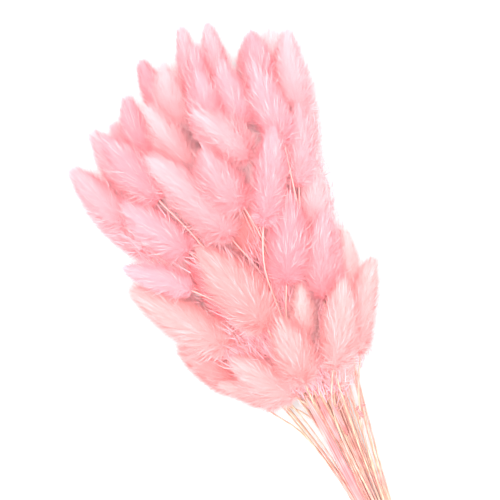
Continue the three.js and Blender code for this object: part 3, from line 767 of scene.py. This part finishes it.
# The leaves
# Four narrow dry leaves lie along the stems below the heads. Each is a thin blade, folded along its keel,
# with fine veins. They took the pink dye in streaks, and dried with wavy edges.
LEAF_POINTS = 13  # across a blade
LEAF_STEP = 0.0016
LEAF_CUTS = 12  # places at which the solid leaf is measured
LEAF_INSET = 0.98  # of the solid's width
LEAF_THICKNESS = 0.00022
LEAF_THIN_EDGE = 0.7  # how much thinner a blade is at its edges
LEAF_FOLD = 0.28  # how far the edges hang below the keel, as a share of the half width
LEAF_VEINS = 5  # on each side of the keel
LEAF_VEIN_DEPTH = 0.00005
LEAF_WAVE = 0.0005
LEAF_WAVE_LENGTH = 0.011
LEAF_PLAIN_BELOW = 0.0015  # half a width under which veins and waves fade away
LEAF_TWIST = 0.03  # radians from one point of the line to the next
LEAF_MAP_ACROSS = (0.03, 0.97)
LEAF_MAP_ALONG = (0.02, 0.98)

LEAF_PALE = (0.76, 0.32, 0.31)
LEAF_PINK = (0.76, 0.23, 0.24)
LEAF_DEEP = (0.56, 0.07, 0.07)
LEAF_STREAKS = 6.0  # across a blade
LEAF_STREAK_CHANGES = 2.5  # along it
LEAF_STREAK_DEPTH = 0.75

leaf_material, leaf_tree, leaf_shader = new_material("dyed_leaf")
leaf_colour = dyed_fibre(
    leaf_tree,
    LEAF_STREAKS,
    LEAF_STREAK_CHANGES,
    LEAF_PALE,
    LEAF_PINK,
    LEAF_DEEP,
    LEAF_STREAK_DEPTH,
)
leaf_tree.links.new(leaf_colour, leaf_shader.inputs["Base Color"])
leaf_shader.inputs["Roughness"].default_value = 0.6
leaf_shader.inputs["Specular IOR Level"].default_value = 0.2


def blade_line(node):
    """The middles and half widths of a leaf's solid, cut across at places spread evenly along it."""
    places, pairs = points_and_edges(node.data)
    start, end = places[pairs].transpose(1, 0, 2)
    low, high = places[:, 1].min(), places[:, 1].max()
    middles, halves = [], []
    for y in np.linspace(low + 1e-5, high - 1e-5, LEAF_CUTS):
        cut = (start[:, 1] - y) * (end[:, 1] - y) < 0
        share = (y - start[cut, 1]) / (end[cut, 1] - start[cut, 1])
        met = start[cut] + (end[cut] - start[cut]) * share[:, None]
        middles.append((met.min(0) + met.max(0)) / 2)
        halves.append((met[:, 0].max() - met[:, 0].min()) / 2)
    return np.array(middles), np.array(halves)


def blade_piece(name, line, halves, facing, draw):
    """A thin blade along a line, with both its faces, which looks towards the directions given."""
    ahead = unit(np.gradient(line, axis=0))
    side = unit(np.cross(ahead, facing))
    normal = np.cross(side, ahead)
    way = np.r_[0, np.cumsum(np.linalg.norm(np.diff(line, axis=0), axis=1))]
    across = np.linspace(-1, 1, LEAF_POINTS)
    ripple = np.cos(np.abs(across) * math.pi * 2 * LEAF_VEINS) * LEAF_VEIN_DEPTH
    phase = np.where(across > 0, *draw.uniform(0, 2 * math.pi, 2))
    wave = np.sin(way[:, None] / LEAF_WAVE_LENGTH * 2 * math.pi + phase) * np.abs(across) ** 2 * LEAF_WAVE
    fade = np.minimum(1, halves / LEAF_PLAIN_BELOW)[:, None]
    lift = -LEAF_FOLD * np.abs(across) * halves[:, None] + (ripple + wave) * fade
    flat = line[:, None] + (across * halves[:, None])[..., None] * side[:, None]
    thick = LEAF_THICKNESS / 2 * (1 - LEAF_THIN_EDGE * across**4)
    sheets = [flat + (lift + up * thick)[..., None] * normal[:, None] for up in (1, -1)]
    points = np.concatenate([sheet.reshape(-1, 3) for sheet in sheets])
    under = len(line) * LEAF_POINTS
    faces = []
    for row in range(len(line) - 1):
        for column in range(LEAF_POINTS - 1):
            a = row * LEAF_POINTS + column
            d = a + LEAF_POINTS
            faces.append((a, a + 1, d + 1, d))
            faces.append((under + a, under + d, under + d + 1, under + a + 1))
        a = row * LEAF_POINTS
        b = a + LEAF_POINTS
        faces.append((a, b, under + b, under + a))
        a += LEAF_POINTS - 1
        b += LEAF_POINTS - 1
        faces.append((a, under + a, under + b, b))
    for column in range(LEAF_POINTS - 1):
        a = column
        b = (len(line) - 1) * LEAF_POINTS + column
        faces.append((a, under + a, under + a + 1, a + 1))
        faces.append((b + 1, under + b + 1, under + b, b))
    piece = new_piece(name, points, faces, leaf_material)
    corner = points_at_corners(piece.data)
    map_across = np.tile(np.interp(across, (-1, 1), LEAF_MAP_ACROSS), 2 * len(line))
    map_along = np.tile(np.repeat(np.interp(way, (0, way[-1]), LEAF_MAP_ALONG), LEAF_POINTS), 2)
    lay_map(piece, map_across[corner], map_along[corner])
    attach(piece, "root")
    return piece


for number in range(1, 5):
    draw = np.random.default_rng(50 + number)
    middles, halves = blade_line(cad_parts[f"leaf_{number}"])
    line, way = even_line(middles, LEAF_STEP)
    halves = np.interp(np.linspace(0, 1, len(line)), np.linspace(0, 1, LEAF_CUTS), halves) * LEAF_INSET
    tilt = np.cumsum(draw.normal(0, LEAF_TWIST, len(line)))
    facing = np.stack([np.sin(tilt), np.zeros(len(line)), np.cos(tilt)], 1)
    leaf = blade_piece(f"leaf_{number}_blade", line, halves, facing, draw)
    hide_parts(f"leaf_{number}")

# The curled leaf
# A small leaf has stayed on one of the outer stems. It dried into a curl that hugs the straw, and its tip
# stands off to the side.
CURL_TAIL = "tail_33"
CURL_WAY = 0.079  # from the band
CURL_START = math.radians(220)
CURL_TURNS = 1.35
# From the stem's middle, where the curl starts, where it comes loose and where it ends.
CURL_REACH = (0.0012, 0.00144, 0.0032)
CURL_LOOSE_FROM = 0.6  # of its turns
CURL_LENGTH = 0.007  # along the stem
CURL_HALF_WIDTH = 0.0011
CURL_TAPER = (0.05, 0.99)  # the part of a half wave that its width follows
CURL_STEPS = 60

curl_stem, _ = even_line(tails[CURL_TAIL]["stem"], 0.001)
from_band = np.linalg.norm(curl_stem - np.array(tie_middle), axis=1)
from_band[curl_stem[:, 1] < tie_middle.y] *= -1
at = int(np.abs(from_band - CURL_WAY).argmin())
curl_ahead = unit(curl_stem[at + 1] - curl_stem[at - 1])
curl_side = unit(np.cross(curl_ahead, (0.0, 0.0, 1.0)))
curl_up = np.cross(curl_side, curl_ahead)
share = np.linspace(0, 1, CURL_STEPS)
turn = CURL_START + share * CURL_TURNS * 2 * math.pi
spokes = np.cos(turn)[:, None] * curl_side + np.sin(turn)[:, None] * curl_up
reach = np.interp(share, (0, CURL_LOOSE_FROM, 1), CURL_REACH)
line = curl_stem[at] + spokes * reach[:, None] + curl_ahead * ((share - 0.5) * CURL_LENGTH)[:, None]
halves = CURL_HALF_WIDTH * np.sin(math.pi * np.interp(share, (0, 1), CURL_TAPER)) ** 0.5
blade_piece("curled_leaf", line, halves, spokes, np.random.default_rng(60))

# The table
# The bunch lies on a plain pale table top, smooth and without gloss. It lies a little below the bunch and
# reaches far past the picture's edge.
TABLE_GREY = 0.64
TABLE_HALF = 4.0
TABLE_TOP = -0.0002

table, _, table_shader = new_material("table")
table_shader.inputs["Base Color"].default_value = (TABLE_GREY, TABLE_GREY, TABLE_GREY, 1)
table_shader.inputs["Roughness"].default_value = 0.8
table_shader.inputs["Specular IOR Level"].default_value = 0.1
table_corners = [(x * TABLE_HALF, y * TABLE_HALF, TABLE_TOP) for x, y in ((-1, -1), (1, -1), (1, 1), (-1, 1))]
table_top = new_piece("table_top", table_corners, [(0, 1, 2, 3)], table)

# The light
# A white room gives most of the light, so that the fur is lit from all round. One soft round lamp hangs above
# the bunch, and brings light down into the gaps between the heads.
ROOM_STRENGTH = 1.95
LAMP_PLACE = (-0.08, 0.1, 2.25)
LAMP_SIZE = 0.6
LAMP_WATTS = 56.0

room = bpy.data.worlds.new("studio")
bpy.context.scene.world = room
room.use_nodes = True
room.node_tree.nodes["Background"].inputs["Color"].default_value = (1, 1, 1, 1)
room.node_tree.nodes["Background"].inputs["Strength"].default_value = ROOM_STRENGTH
lamp = bpy.data.lights.new("key", "AREA")
lamp.shape = "DISK"
lamp.size = LAMP_SIZE
lamp.energy = LAMP_WATTS
hung_lamp = bpy.data.objects.new("key", lamp)
bpy.context.scene.collection.objects.link(hung_lamp)
hung_lamp.location = LAMP_PLACE
hung_lamp.rotation_euler = (-Vector(LAMP_PLACE)).to_track_quat("-Z", "Y").to_euler()

# The camera
# It looks straight down from well above, as in the photograph, and is turned so that the bundle leans to the
# left in the picture. Its frame leaves the band and the cut ends out, below the lower edge.
PHOTO_LEAN = math.radians(22)
PHOTO_WIDTH = 0.25  # of the part of the table that the photograph shows
TIE_TO_MIDDLE = (-0.01055, 0.1714)  # from the band to the middle of the photograph
AIM_HEIGHT = 0.035  # above the table, where the photograph's width is measured
CAMERA_HEIGHT = 2.4  # above the aim

camera_data = bpy.data.cameras.new("camera")
camera = bpy.data.objects.new("camera", camera_data)
bpy.context.scene.collection.objects.link(camera)
bpy.context.scene.camera = camera
aim = Vector((tie_middle.x + TIE_TO_MIDDLE[0], tie_middle.y + TIE_TO_MIDDLE[1], AIM_HEIGHT))
camera.location = aim + Vector((0, 0, CAMERA_HEIGHT))
camera.rotation_euler = (0, 0, -PHOTO_LEAN)
camera_data.lens_unit = "FOV"
camera_data.sensor_fit = "HORIZONTAL"
camera_data.angle = 2 * math.atan(PHOTO_WIDTH / 2 / CAMERA_HEIGHT)
camera_data.clip_start = 0.1
camera_data.clip_end = 20
bpy.context.scene.view_settings.view_transform = "Standard"
